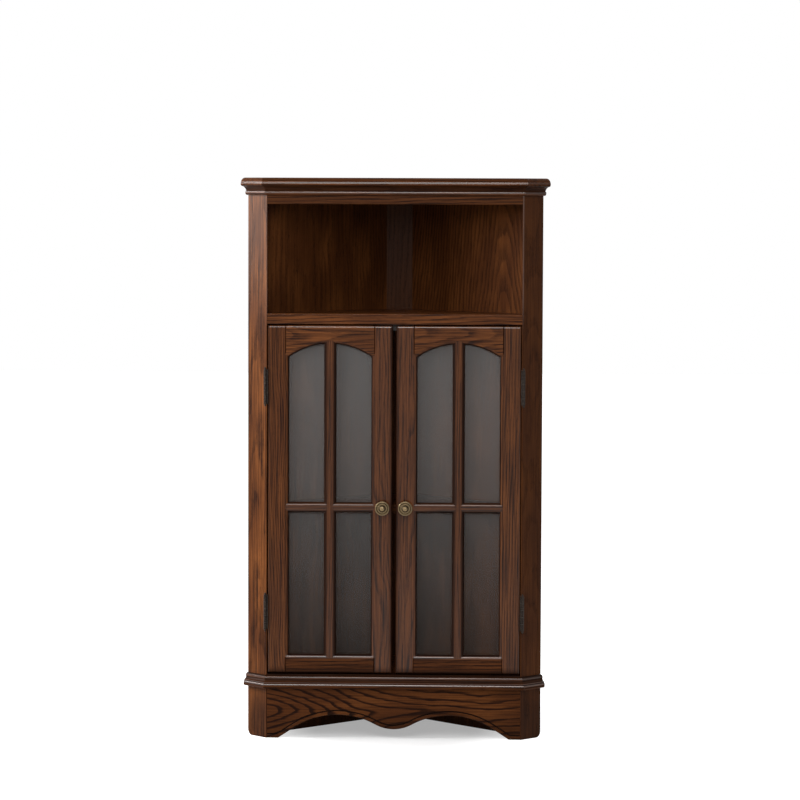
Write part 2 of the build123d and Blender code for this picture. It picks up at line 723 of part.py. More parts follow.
def knob():
    """A turned brass knob: foot, neck, rim, sunk ring and domed middle."""
    rim = KNOB_RIM / 2
    face = KNOB_FACE
    rim_x = KNOB_RADIUS - rim
    rim_back = KNOB_RIM - face
    neck_end = (KNOB_NECK_RADIUS, -KNOB_NECK_END)
    valley = (rim_x + KNOB_RING_RADIUS) / 2
    dome_height = KNOB_REACH - face
    dome_radius = (KNOB_DOME_RADIUS ** 2 + dome_height ** 2) / (2 * dome_height)
    dome_turn = atan2(KNOB_DOME_RADIUS, dome_radius - dome_height) / 2
    dome_middle = (dome_radius * sin(dome_turn), dome_radius - KNOB_REACH - dome_radius * cos(dome_turn))
    outline = make_face([
        Line((0, 0), (KNOB_BASE_RADIUS, 0)),
        Line((KNOB_BASE_RADIUS, 0), (KNOB_BASE_RADIUS, -KNOB_FOOT)),
        cove((KNOB_BASE_RADIUS, -KNOB_FOOT), neck_end, (KNOB_NECK_RADIUS, -KNOB_FOOT)),
        cove(neck_end, (rim_x, rim_back), (KNOB_NECK_RADIUS, rim_back)),
        ThreePointArc((rim_x, rim_back), (KNOB_RADIUS, rim - face), (rim_x, -face)),
        ThreePointArc((rim_x, -face), (valley, KNOB_GROOVE - face), (KNOB_RING_RADIUS, -face)),
        Line((KNOB_RING_RADIUS, -face), (KNOB_DOME_RADIUS, -face)),
        ThreePointArc((KNOB_DOME_RADIUS, -face), dome_middle, (0, -KNOB_REACH)),
        Line((0, -KNOB_REACH), (0, 0)),
    ])
    solid = Pos(knob_x, 0, CROSS_BAR_HEIGHT) * revolve(outline, axis=Axis.Y)
    return solid - knob_bolt(KNOB_SCREW_RADIUS + SCREW_CLEARANCE, KNOB_SCREW_DEPTH + SCREW_TIP)


def knob_bolt(radius, depth):
    """A straight shank from the door's back, through the stile and into the knob."""
    return rod(radius, (knob_x, DOOR_THICKNESS, CROSS_BAR_HEIGHT), (knob_x, -depth, CROSS_BAR_HEIGHT))


def knob_screw():
    head_end = (knob_x, DOOR_THICKNESS + KNOB_SCREW_HEAD, CROSS_BAR_HEIGHT)
    head = rod(KNOB_SCREW_HEAD_RADIUS, (knob_x, DOOR_THICKNESS, CROSS_BAR_HEIGHT), head_end)
    head = fillet(head.faces().sort_by(Axis.Y)[-1].edges(), KNOB_SCREW_HEAD_ROUND)
    return head + knob_bolt(KNOB_SCREW_RADIUS, KNOB_SCREW_DEPTH)


# Screws

def countersunk_screw(start, direction, head_depth, length, clearance=0.0):
    """A countersunk wood screw, or with a clearance the hole that it needs."""
    start = Vector(*start)
    aim = Vector(*direction)
    neck = start + aim * head_depth
    point = start + aim * (length + clearance)
    shank_end = point - aim * SCREW_TIP
    radius = HINGE_SCREW_RADIUS + clearance
    head = rod(HINGE_SCREW_HEAD_RADIUS + clearance, tuple(start), tuple(neck), radius)
    shank = rod(radius, tuple(neck), tuple(shank_end))
    tip = rod(radius, tuple(shank_end), tuple(point), SCREW_POINT_RADIUS)
    return head + shank + tip


def hinge_screw_heights():
    """Three screws in each leaf of both hinges."""
    return [middle + step * HINGE_SCREW_SPACING for middle in hinge_heights for step in (-1, 0, 1)]


def frame_screws(clearance=0.0):
    screws = []
    for height in hinge_screw_heights():
        start = (frame_leaf_x, FRAME_SCREW_DEPTH, height)
        screws.append(countersunk_screw(start, (1, 0, 0), LEAF_THICKNESS, HINGE_SCREW_LENGTH, clearance))
    return screws


def door_screws(clearance=0.0):
    screws = []
    for height in hinge_screw_heights():
        start = (door_leaf_x, DOOR_SCREW_DEPTH, height)
        screws.append(countersunk_screw(start, (-1, 0, 0), LEAF_THICKNESS, HINGE_SCREW_LENGTH, clearance))
    return screws


# Hinges

def hinge_leaf(middle, leaf_x, away, depth, segments):
    """One leaf: a plate in the gap, bent out round the post's edge to its share of the barrel."""
    low = middle - BARREL_LENGTH / 2
    pitch = (BARREL_LENGTH + SEGMENT_GAP) / BARREL_SEGMENTS
    back_x = leaf_x + away * LEAF_THICKNESS
    x0, x1 = min(leaf_x, back_x), max(leaf_x, back_x)
    leaf = block(x0, x1, 0, depth, low, low + BARREL_LENGTH)
    bend_back = hinge_y + BARREL_RADIUS
    bend_front = bend_back - LEAF_THICKNESS
    for segment in segments:
        foot = low + segment * pitch
        head = foot + pitch - SEGMENT_GAP
        leaf += block(x0, x1, bend_front, 0, foot, head)
        leaf += block(x0, hinge_x, bend_front, bend_back, foot, head)
        leaf += rod(BARREL_RADIUS, (hinge_x, hinge_y, foot), (hinge_x, hinge_y, head))
    bore = PIN_ROD_RADIUS + PIN_RUNNING_FIT
    return leaf - rod(bore, (hinge_x, hinge_y, low), (hinge_x, hinge_y, low + BARREL_LENGTH))


def leaf_mortise(middle, leaf_x, away, depth):
    """The shallow recess that a leaf's plate lies in."""
    back_x = leaf_x + away * LEAF_THICKNESS
    x0, x1 = min(gap_middle_x, back_x), max(gap_middle_x, back_x)
    half = BARREL_LENGTH / 2
    return block(x0, x1, -BARREL_RADIUS, depth, middle - half, middle + half)


def hinge_pin(middle):
    """The pin, with a small turned finial on each end of the barrel."""
    half = BARREL_LENGTH / 2
    ball_height = FINIAL_LENGTH - FINIAL_NECK_END
    ball_radius = (ball_height ** 2 + FINIAL_NECK_RADIUS ** 2) / (2 * ball_height)
    neck = (FINIAL_NECK_RADIUS, FINIAL_NECK_END)
    ball_side = (ball_radius, FINIAL_LENGTH - ball_radius)
    finial = make_face([
        Line((0, 0), (FINIAL_RADIUS, 0)),
        Line((FINIAL_RADIUS, 0), (FINIAL_RADIUS, FINIAL_COLLAR)),
        Line((FINIAL_RADIUS, FINIAL_COLLAR), neck),
        ThreePointArc(neck, ball_side, (0, FINIAL_LENGTH)),
        Line((0, FINIAL_LENGTH), (0, 0)),
    ])
    turned = revolve(Plane.XZ * finial, axis=Axis.Z)
    upper = Pos(hinge_x, hinge_y, middle + half) * turned
    lower = Pos(hinge_x, hinge_y, middle - half) * mirror(turned, about=Plane.XY)
    shaft = rod(PIN_ROD_RADIUS, (hinge_x, hinge_y, middle - half), (hinge_x, hinge_y, middle + half))
    return shaft + upper + lower


# Magnetic catch

def catch_housing():
    """The catch's plastic case: an ear at each end, a pocket in front for each magnet."""
    half = CATCH_WIDTH / 2
    body = block(-half, half, catch_front, catch_front + CATCH_DEPTH, catch_bottom, niche_floor_bottom)
    ear = half + CATCH_EAR
    ear_bottom = niche_floor_bottom - CATCH_EAR_THICKNESS
    body += block(-ear, ear, catch_front, catch_front + CATCH_DEPTH, ear_bottom, niche_floor_bottom)
    body = body - catch_magnets()
    for hole in catch_screws(SCREW_CLEARANCE):
        body -= hole
    return body


def catch_magnets():
    """The two magnets, standing a little proud of the case towards the doors."""
    front = catch_front - MAGNET_PROUD
    foot = strike_z - MAGNET_HEIGHT / 2
    x0 = STRIKE_OFFSET - MAGNET_WIDTH / 2
    x1 = STRIKE_OFFSET + MAGNET_WIDTH / 2
    right = block(x0, x1, front, front + MAGNET_DEPTH, foot, foot + MAGNET_HEIGHT)
    return right + mirrored(right)


def catch_screws(clearance=0.0):
    x = CATCH_WIDTH / 2 + CATCH_EAR / 2
    y = catch_front + CATCH_DEPTH / 2
    z = niche_floor_bottom - CATCH_EAR_THICKNESS
    screws = []
    for side in (-1, 1):
        start = (side * x, y, z)
        screw = countersunk_screw(start, (0, 0, 1), CATCH_SCREW_HEAD, HINGE_SCREW_LENGTH, clearance)
        screws.append(screw)
    return screws


def strike_plate():
    """The steel plate on the back of the right meeting stile."""
    half = STRIKE_WIDTH / 2
    height = STRIKE_HEIGHT / 2
    plate = block(
        STRIKE_OFFSET - half, STRIKE_OFFSET + half, DOOR_THICKNESS, DOOR_THICKNESS + STRIKE_THICKNESS,
        strike_z - height, strike_z + height,
    )
    return fillet(plate.edges().filter_by(Axis.Y), STRIKE_CORNER)


def strike_screw(clearance=0.0):
    start = (STRIKE_OFFSET, DOOR_THICKNESS + STRIKE_THICKNESS, strike_z)
    return countersunk_screw(start, (0, -1, 0), STRIKE_THICKNESS, STRIKE_SCREW_LENGTH, clearance)


# Body of the cabinet

niche_floor = floor_board(RAIL_THICKNESS, niche_floor_bottom, niche_floor_top)
cabinet_floor = floor_board(0, cabinet_floor_bottom, CABINET_FLOOR_TOP)
wall = wall_board() - niche_floor - cabinet_floor
for point in shelf_pin_lines():
    wall -= shelf_pin(point, PIN_RADIUS + PIN_CLEARANCE, PIN_IN_WALL, PIN_RADIUS)
post = front_post()
for middle in hinge_heights:
    post -= leaf_mortise(middle, frame_leaf_x, 1, FRAME_LEAF_DEPTH)
for hole in frame_screws(SCREW_CLEARANCE):
    post -= hole
for hole in catch_screws(SCREW_CLEARANCE):
    niche_floor -= hole

save("top_board", top_board())
save("top_rail", front_rail(niche_top, carcass_top))
save("niche_floor", niche_floor)
save("niche_rail", front_rail(niche_floor_bottom, niche_floor_top))
save("cabinet_floor", cabinet_floor)
save("display_shelf", display_shelf())
save("rear_post", rear_post())
save_pair("post", post)
save_pair("wall", wall)

pins = [shelf_pin(point, PIN_RADIUS, PIN_IN_WALL, PIN_LENGTH - PIN_IN_WALL) for point in shelf_pin_lines()]
save("shelf_pins", *pins, *[mirrored(pin) for pin in pins])

for name, profile, foot_z in (
    ("cornice", cornice_profile(), carcass_top - CORNICE_HEIGHT),
    ("base_moulding", base_profile(), base_moulding_bottom),
):
    right_length, front_length, left_length = mitred_lengths(profile, foot_z)
    save("right_" + name, right_length)
    save("front_" + name, front_length)
    save("left_" + name, left_length)

save("front_apron", front_apron())
half_block = BLOCK_LENGTH / 2
top_block = block(
    TOP_BLOCK_OFFSET - half_block, TOP_BLOCK_OFFSET + half_block,
    RAIL_THICKNESS, RAIL_THICKNESS + BLOCK_SIDE, carcass_top - BLOCK_SIDE, carcass_top,
)
save("top_blocks", top_block, mirrored(top_block))
apron_back = APRON_THICKNESS + BLOCK_SIDE
floor_block = block(
    APRON_BLOCK_OFFSET - half_block, APRON_BLOCK_OFFSET + half_block,
    APRON_THICKNESS, apron_back, cabinet_floor_bottom - BLOCK_SIDE, cabinet_floor_bottom,
)
corner_block = block(
    opening_half - BLOCK_SIDE, opening_half, APRON_THICKNESS, apron_back,
    cabinet_floor_bottom - BLOCK_LENGTH, cabinet_floor_bottom,
)
save("apron_blocks", floor_block, corner_block, mirrored(floor_block), mirrored(corner_block))

# Hinges and catch on the body

frame_leaves = []
for middle in hinge_heights:
    leaf = hinge_leaf(middle, frame_leaf_x, 1, FRAME_LEAF_DEPTH, range(0, BARREL_SEGMENTS, 2))
    for hole in frame_screws(SCREW_CLEARANCE):
        leaf -= hole
    frame_leaves.append(leaf)
save_pair("frame_hinge_leaves", *frame_leaves)
save_pair("frame_hinge_screws", *frame_screws())
save_pair("hinge_pins", *[hinge_pin(middle) for middle in hinge_heights])
save("catch_housing", catch_housing())
save("catch_magnets", catch_magnets())
save("catch_screws", *catch_screws())

# Doors

meeting_stile = stile(door_inner_x, 1)
hinge_stile = stile(door_outer_x, -1)
stiles = meeting_stile + hinge_stile
bottom = bottom_rail(stiles)
arch = arched_rail(stiles)
upright = upright_bar(bottom + arch)
bars = cross_bars(stiles, upright)
for groove in joint_grooves():
    meeting_stile -= groove
    hinge_stile -= groove
    bottom -= groove
    arch -= groove

meeting_stile -= knob_bolt(KNOB_SCREW_RADIUS + KNOB_SCREW_CLEARANCE, 0)
meeting_stile -= strike_screw(SCREW_CLEARANCE)
for middle in hinge_heights:
    hinge_stile -= leaf_mortise(middle, door_leaf_x, -1, DOOR_LEAF_DEPTH)
for hole in door_screws(SCREW_CLEARANCE):
    hinge_stile -= hole

door_leaves = []
for middle in hinge_heights:
    leaf = hinge_leaf(middle, door_leaf_x, -1, DOOR_LEAF_DEPTH, range(1, BARREL_SEGMENTS, 2))
    for hole in door_screws(SCREW_CLEARANCE):
        leaf -= hole
    door_leaves.append(leaf)

save_pair("door_meeting_stile", meeting_stile)
save_pair("door_hinge_stile", hinge_stile)
save_pair("door_bottom_rail", bottom)
save_pair("door_arched_rail", arch)
save_pair("door_upright_bar", upright)
save_pair("door_cross_bars", bars)
save_pair("door_glass", door_glass())
save_pair("door_glazing_beads", *glazing_beads())
save_pair("door_knob", knob())
save_pair("door_knob_screw", knob_screw())
save_pair("door_hinge_leaves", *door_leaves)
save_pair("door_hinge_screws", *door_screws())
save_pair("door_strike_plate", strike_plate() - strike_screw(SCREW_CLEARANCE))
save_pair("door_strike_screw", strike_screw())
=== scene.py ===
# %% [markdown]
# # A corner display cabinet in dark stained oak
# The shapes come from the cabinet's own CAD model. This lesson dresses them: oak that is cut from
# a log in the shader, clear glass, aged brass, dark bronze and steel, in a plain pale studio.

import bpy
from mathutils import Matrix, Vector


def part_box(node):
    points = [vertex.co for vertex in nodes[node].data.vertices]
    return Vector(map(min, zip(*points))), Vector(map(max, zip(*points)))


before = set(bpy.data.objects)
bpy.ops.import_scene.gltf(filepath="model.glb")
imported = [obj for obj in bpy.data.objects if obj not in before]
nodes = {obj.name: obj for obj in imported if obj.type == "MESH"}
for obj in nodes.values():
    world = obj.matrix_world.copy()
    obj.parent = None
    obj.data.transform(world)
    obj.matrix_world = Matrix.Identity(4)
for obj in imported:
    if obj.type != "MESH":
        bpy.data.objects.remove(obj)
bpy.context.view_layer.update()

# %% [markdown]
# ## What the lesson works with
# bpy holds Blender's materials, lamps and camera, and bmesh makes the floor's one square. The
# slanted boards, the lamps and the camera are turned with mathutils, which saves writing sines by
# hand.

# %% Modules
import math

import bpy
import bmesh
from mathutils import Matrix, Vector

print("Blender", bpy.app.version_string)

# %% [markdown]
# ## Writing shader maths as Python
# A shader is a graph of nodes, and grain takes a lot of arithmetic. Wiring each Math node by hand
# hides the sums, so one small class wraps an output socket and turns + - * / into Math nodes. Each
# operator has its reflected form too, so that 1 - mask works as well as mask - 1.

# %% A socket that does arithmetic
class Signal:
    """A number that changes over a surface: an output socket with Python's operators."""

    def __init__(self, graph, socket):
        self.graph = graph
        self.socket = socket

    def __add__(self, other):
        return self.graph.math("ADD", self, other)

    def __radd__(self, other):
        return self.graph.math("ADD", other, self)

    def __sub__(self, other):
        return self.graph.math("SUBTRACT", self, other)

    def __rsub__(self, other):
        return self.graph.math("SUBTRACT", other, self)

    def __mul__(self, other):
        return self.graph.math("MULTIPLY", self, other)

    def __rmul__(self, other):
        return self.graph.math("MULTIPLY", other, self)

    def __truediv__(self, other):
        return self.graph.math("DIVIDE", self, other)

    def __rtruediv__(self, other):
        return self.graph.math("DIVIDE", other, self)

    def __pow__(self, other):
        return self.graph.math("POWER", self, other)

    def __rpow__(self, other):
        return self.graph.math("POWER", other, self)


print("a socket can be added, subtracted, multiplied, divided and raised to a power")

# %% [markdown]
# ## A graph and a finish
# One class holds a node tree and adds any kind of node from its type, its settings and the values
# of its sockets. The few blocks that every surface here needs, such as a fade or soft noise, are
# methods of it. A finish is such a graph for one material, with the main shader at hand.

# %% A node tree under construction
MM = 1000.0  # millimetres in a metre


class Graph:
    """A node tree and the few blocks that every surface here is built from."""

    def __init__(self, tree):
        self.tree = tree

    def node(self, kind, settings=None, inputs=None, output=0):
        """Add a node: its settings first, then its sockets. Gives back one output."""
        made = self.tree.nodes.new(kind)
        for key, value in (settings or {}).items():
            setattr(made, key, value)
        for key, value in (inputs or {}).items():
            self.connect(value, made.inputs[key])
        return Signal(self, made.outputs[output])

    def connect(self, value, socket):
        """Join a signal to a socket, or set the socket to a plain value."""
        if isinstance(value, Signal):
            self.tree.links.new(value.socket, socket)
        else:
            socket.default_value = value

    def math(self, operation, *values):
        """One Math node."""
        return self.node("ShaderNodeMath", {"operation": operation}, dict(enumerate(values)))

    def mix(self, factor, low, high, blend="MIX"):
        """Blend two colours."""
        settings = {"data_type": "RGBA", "blend_type": blend}
        colours = {"Factor": factor, "A": low, "B": high}
        return self.node("ShaderNodeMix", settings, colours, "Result")

    def fade(self, value, low, high):
        """0 below low, 1 above high, with a smooth step between them."""
        settings = {"interpolation_type": "SMOOTHSTEP"}
        limits = {"Value": value, "From Min": low, "From Max": high}
        return self.node("ShaderNodeMapRange", settings, limits)

    def between(self, value, low, high, soft):
        """1 between two values and 0 outside them, with soft edges inside."""
        return self.fade(value, low, low + soft) * (1.0 - self.fade(value, high - soft, high))

    def clamp(self, value):
        """Hold a number between 0 and 1."""
        return self.node("ShaderNodeClamp", {}, {"Value": value})

    def place(self):
        """Where a point is on the cabinet, in metres, as one vector."""
        return self.node("ShaderNodeTexCoord", {}, {}, "Object")

    def split(self, vector):
        """The three parts of a vector."""
        parts = self.node("ShaderNodeSeparateXYZ", {}, {0: vector}).socket.node
        return [Signal(self, parts.outputs[axis]) for axis in range(3)]

    def millimetres(self, vector):
        """The three parts of a vector that is in metres."""
        inputs = {"Vector": vector, "Scale": MM}
        return self.split(self.node("ShaderNodeVectorMath", {"operation": "SCALE"}, inputs))

    def cloud(self, vector, scale, detail=2.0, rough=0.5):
        """Soft noise from 0 to 1."""
        inputs = {"Vector": vector, "Scale": scale, "Detail": detail, "Roughness": rough}
        return self.node("ShaderNodeTexNoise", {"noise_dimensions": "3D"}, inputs)

    def bump(self, height, strength, distance):
        """Shade a flat surface as if it rose and fell with height."""
        inputs = {"Strength": strength, "Distance": distance, "Height": height}
        return self.node("ShaderNodeBump", {}, inputs)


print("a graph adds any node, and blends, fades, clouds and bumps")

# %% A material under construction
class Finish(Graph):
    """A material's node tree. Keyword names are the main shader's sockets, _ for a space."""

    def __init__(self, name, **constants):
        self.material = bpy.data.materials.new(name)
        self.material.use_nodes = True
        super().__init__(self.material.node_tree)
        self.shader = self.tree.nodes["Principled BSDF"]
        self.feed(**constants)

    def feed(self, **values):
        """Set or join sockets of the main shader."""
        for socket, value in values.items():
            self.connect(value, self.shader.inputs[socket.replace("_", " ")])


print("a finish is a graph with its own material")

# %% [markdown]
# ## Colours
# Colours are linear, as a renderer counts light. Stained oak is darkest where the early wood of
# each ring has open pores, because the stain collects there, and warmest in the late wood. The
# last, nearly black colour is painted shade for the recesses, and it also darkens the joint lines.

# %% Tones of the stain
PORE = (0.006, 0.002, 0.001, 1)
EARLY_WOOD = (0.016, 0.0047, 0.0018, 1)
LATE_WOOD = (0.108, 0.0335, 0.0095, 1)
WARM_WOOD = (0.2, 0.066, 0.0175, 1)
# painted shade for the recesses, and the colour of the dark joint lines
SHADE_AND_JOINT_DARK = (0.009, 0.003, 0.0016, 1)
print("stain from", EARLY_WOOD[:3], "to", WARM_WOOD[:3])

# %% [markdown]
# ## Oak, cut from a log
# A board's figure is the tree's rings where the saw crossed them. A flat picture of grain would not
# carry round a moulding or over an edge. So the shader keeps an imaginary log for each board: the
# distance from the pith gives the ring, a little sway gives the flames and arches of a flat-sawn
# board, and a pith far to one side gives straight quarter-sawn lines.

# %% Noise along the grain
# Waves per millimetre along the grain and across it, then detail and roughness.
BEND = (0.0035, 0.01, 1.0, 0.5)     # the slow bend of the trunk
WAVER = (0.012, 0.05, 2.0, 0.5)     # the waver of single rings
STREAK = (0.006, 0.3, 3.0, 0.6)     # long streaks that took more stain
FIBRE = (0.02, 1.1, 2.0, 0.6)       # fine fibres
SCRATCH = (0.08, 1.6, 1.0, 0.5)     # open pores, cut lengthways
BLOTCH = (0.007, 0.018, 2.0, 0.5)   # broad patches, warmer and duller


def grain_noise(finish, point, kind):
    """Noise drawn out along the grain, from 0 to 1."""
    run, across, depth = point
    along_scale, cross_scale, detail, rough = kind
    parts = {0: run * along_scale, 1: across * cross_scale, 2: depth * cross_scale}
    return finish.cloud(finish.node("ShaderNodeCombineXYZ", {}, parts), 1.0, detail, rough)


print("six kinds of noise run along the grain")

# %% Rings of a log
RINGS_ADDED = 400.0  # whole rings, so that the count stays above zero


def log_rings(finish, point, pith, ring, lift, sway):
    """How far through its ring each point is, from 0 to 1, with the open pores first."""
    _, across, depth = point
    bend = grain_noise(finish, point, BEND) - 0.5
    waver = grain_noise(finish, point, WAVER) - 0.5
    side = across - pith[0] + bend * (sway * 2.0)
    back = depth - pith[1]
    radius = (side * side + back * back) ** 0.5 + lift + bend * sway + waver * (ring * 1.2)
    return finish.math("FRACT", radius / ring + RINGS_ADDED)


def early_wood(finish, phase, line):
    """1 in the early wood and 0 in the late wood, which begins where phase reaches line."""
    opening = 1.0 - finish.fade(phase, 0.06, line)
    return finish.math("MAXIMUM", opening, finish.fade(phase, 0.9, 1.0))


print("a log has rings of early and late wood")

# %% [markdown]
# ## The finish on the oak
# The pores are short dark scratches along the grain. They show close to, so they are drawn mostly
# in the early wood, where oak has them, and they also dent the lacquer. Over them lie a nearly
# black colour, which is painted shade in the recesses and the dark of the joint lines, and a clear
# coat, thick where the wood is polished.
#
# What sets one board apart: pith, ring, tilt or climb, and sway place and shape its log. tone is
# how much light it gives back, warmth how red it is. figure, line and contrast say how boldly the
# rings, the early wood and the streaks show, and rough and sheen how it shines.

# %% Oak finish
SEED_STEP = 137.0  # millimetres of trunk between the boards of one seed and the next


def stained(finish, early, streak, fibre, blotch, warmth, contrast):
    """The stain's colour on late wood, early wood and streaks, before the pores."""
    body = finish.mix(finish.fade(blotch, 0.35, 0.75) * warmth, LATE_WOOD, WARM_WOOD)
    streaks = (1.0 - finish.fade(streak, 0.34, 0.62)) * 0.7 + (0.5 - fibre) * 0.9
    dark = early + (streaks - 0.35) * contrast + 0.35
    return finish.mix(finish.clamp(dark), body, EARLY_WOOD)


def oak(name, grain, turn, log_middle, seed, pith, ring=5.0, tilt=0.02, climb=None, sway=14.0,
        tone=1.0, warmth=0.35, figure=0.5, line=0.5, contrast=1.0, rough=0.42, sheen=0.05,
        glaze=None, polish=None):
    """Stained oak whose grain runs along z or x, swung by turn about the vertical."""
    finish = Finish(name, Specular_IOR_Level=0.04, Coat_Roughness=0.11, IOR=1.5)
    place = finish.place()
    swing = {"Vector": place, "Angle": turn}
    swung = finish.node("ShaderNodeVectorRotate", {"rotation_type": "Z_AXIS"}, swing)
    x, y, z = finish.millimetres(swung)
    run, across = (z, x) if grain == "z" else (x, z)
    point = (run + seed * SEED_STEP, across - log_middle[0], y - log_middle[1])
    lift = climb(finish, run) if climb else run * tilt
    bold = figure(finish, run) if callable(figure) else figure

    early = early_wood(finish, log_rings(finish, point, pith, ring, lift, sway), line)
    streak, fibre, scratch, blotch = [
        grain_noise(finish, point, kind) for kind in (STREAK, FIBRE, SCRATCH, BLOTCH)
    ]
    pores = finish.fade(scratch, 0.55, 0.67) * (early * 0.7 + 0.3)
    wood = stained(finish, early * bold, streak, fibre, blotch, warmth, contrast)
    wood = finish.mix(pores * 0.7, wood, PORE)

    coat = sheen
    spot = finish.millimetres(place) if glaze or polish else None
    # painted shade: the mask darkens the wood towards a nearly black colour in recesses where shade
    # falls, and on the doors it also draws the dark joint lines
    if glaze:
        shade_amount = glaze(finish, *spot)
        wood = finish.mix(shade_amount, wood, SHADE_AND_JOINT_DARK)
        coat = (1.0 - shade_amount) * sheen if sheen else 0.0
    if polish:
        coat = finish.clamp(polish(finish, *spot) + coat)
    relief = fibre * 0.1 - pores * 0.7 - early * 0.35
    finish.feed(
        Base_Color=finish.mix(1.0, wood, (tone, tone, tone, 1), "MULTIPLY"),
        Roughness=rough + early * 0.08 + pores * 0.2 + (blotch - 0.5) * 0.12,
        Normal=finish.bump(relief, strength=0.2, distance=0.0004),
        Coat_Weight=coat,
    )
    return finish.material


print("oak ready")

# %% [markdown]
# ## One board, one log
# No two boards of a real cabinet match, so each piece gets its own log: where the pith was, how
# wide the rings are and how dark the stain took. Uprights run up, rails run across, and boards at
# 45 degrees are swung round first, so that their grain follows their own length.

# %% Dress a node
def dress(node, material):
    """Give a CAD node one material on all its faces."""
    mesh = nodes[node].data
    mesh.materials.clear()
    mesh.materials.append(material)


def middle(node):
    """The middle of a node's box, in millimetres."""
    low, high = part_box(node)
    return [(a + b) / 2 * MM for a, b in zip(low, high)]


def dress_upright(node, **looks):
    """A board whose grain runs up, with its log placed from the board's own middle."""
    x, y, _ = middle(node)
    dress(node, oak(node + "_oak", "z", 0.0, (x, y), **looks))


def dress_rail(node, **looks):
    """A board whose grain runs across the cabinet."""
    _, y, z = middle(node)
    dress(node, oak(node + "_oak", "x", 0.0, (z, y), **looks))


def dress_slanted(node, grain, side, **looks):
    """A board at 45 degrees. side is 1 if it runs back to the right and -1 if to the left."""
    turn = -side * math.pi / 4
    x, y, z = Matrix.Rotation(turn, 3, "Z") @ Vector(middle(node))
    log_middle = (x, y) if grain == "z" else (z, y)
    dress(node, oak(node + "_oak", grain, turn, log_middle, **looks))


print("boards can be dressed upright, across and slanted")

# %% [markdown]
# ## Painted shade in the recesses, polish on the proud parts
# A nearly black colour is painted where shade falls: beside the glass, in the mouldings' hollows,
# on the feet and along the bead of the apron. The same colour marks the fine lines of the joints. A
# thicker clear coat lies on what stands proud. A mask painted by hand would need an image for every
# piece. So the height of a point on a moulding, or its depth behind the front face, says which of
# the two it is. Every such mask takes the same three coordinates, in millimetres.

# %% [markdown]
# ## Posts and walls
# The two front posts are canted and run down to the floor as feet. The left one catches the light,
# and its upper end and the edges beside the open shelf are worn bright. The two walls are wide
# boards that show at the back of the open shelf: the right one has bold arcs there, and only faint
# ones where the doors' panes are in front of it.

# %% Posts and walls
OPENING_SIDE = 271.5  # the posts' edges beside the shelf and the doors, from the middle


def foot_glaze(finish, x, y, z):
    """Painted shade on the feet, below the base moulding."""
    return (1.0 - finish.fade(z, 60.0, 125.0)) * 0.4


def post_polish(finish, x, y, z):
    """The edges beside the open shelf, which hands rub."""
    aside = finish.math("ABSOLUTE", x)
    edge = finish.between(aside, OPENING_SIDE - 2.0, OPENING_SIDE + 3.5, soft=1.2)
    return edge * finish.fade(z, 860.0, 960.0) * 0.8


def left_post_polish(finish, x, y, z):
    """The left post is rubbed all over its upper end."""
    return finish.clamp(post_polish(finish, x, y, z) + finish.fade(z, 820.0, 1120.0) * 0.62)


def wall_figure(finish, run):
    """The right wall's lines are clear in the open shelf and faint behind the glass."""
    return finish.fade(run, 720.0, 900.0) * 0.3


post_looks = {"ring": 6.0, "glaze": foot_glaze}
dress_upright("left_post", seed=3.1, pith=(75.0, 60.0), tone=0.84, warmth=1.0, figure=0.3,
              sheen=0.0, polish=left_post_polish, **post_looks)
dress_upright("right_post", seed=7.7, pith=(-80.0, 55.0), tone=0.72, warmth=0.5, figure=0.15,
              contrast=0.45, sheen=0.02, polish=post_polish, **post_looks)
dress_upright("rear_post", seed=12.4, pith=(50.0, 80.0), tone=0.5, warmth=0.2, figure=0.1,
              contrast=0.3, sheen=0.03)
wall_looks = {"ring": 9.0, "warmth": 1.0, "line": 0.7, "contrast": 0.3, "sheen": 0.0}
dress_slanted("left_wall", "z", 1, seed=21.3, pith=(-60.0, 75.0), sway=26.0, tone=0.68,
              figure=0.14, **wall_looks)
dress_slanted("right_wall", "z", -1, seed=33.9, pith=(105.0, 30.0), sway=22.0, tilt=0.12,
              tone=0.85, figure=wall_figure, **wall_looks)
print("posts and walls dressed")

# %% [markdown]
# ## Top, floors and rails
# These lie across the cabinet. The apron is flat-sawn with its pith close behind the face, so its
# rings open into long flames, the boldest figure on the piece. One tilt of the log would draw the
# same flames all along. So one short function lets the log narrow fast at the left end and hardly
# at the right, and another lets the flames fade on the way.

# %% Top and cornice
TOP_FOOT = 1182.0      # underside of the top board
CORNICE_FOOT = 1163.0  # and of the cornice below it


def crown_glaze(finish, x, y, z):
    """Painted shade under the top's nose and in the cove below it."""
    return finish.between(z, CORNICE_FOOT + 7.0, TOP_FOOT + 4.0, soft=2.5) * 0.6


def crown_polish(finish, x, y, z):
    """The lip of the nose and the bead."""
    lip = finish.between(z, TOP_FOOT + 4.5, TOP_FOOT + 10.0, soft=1.5)
    bead = finish.between(z, CORNICE_FOOT + 2.5, CORNICE_FOOT + 8.5, soft=1.5)
    return lip * 0.38 + bead * 0.52


crown_looks = {
    "glaze": crown_glaze, "polish": crown_polish, "figure": 0.35, "contrast": 0.8, "tone": 0.8,
    "sheen": 0.0,
}
dress_rail("top_board", seed=41.0, pith=(30.0, -120.0), ring=5.5, warmth=0.5, **crown_looks)
print("top dressed")

# %% Floors, rails and apron
FRONT = -152.125  # plane of the apron, the rails and the doors


def ledge_glaze(finish, x, y, z):
    """Painted shade on the front of the cabinet's floor, under the doors."""
    return (1.0 - finish.fade(y - FRONT, 18.0, 40.0)) * 0.8


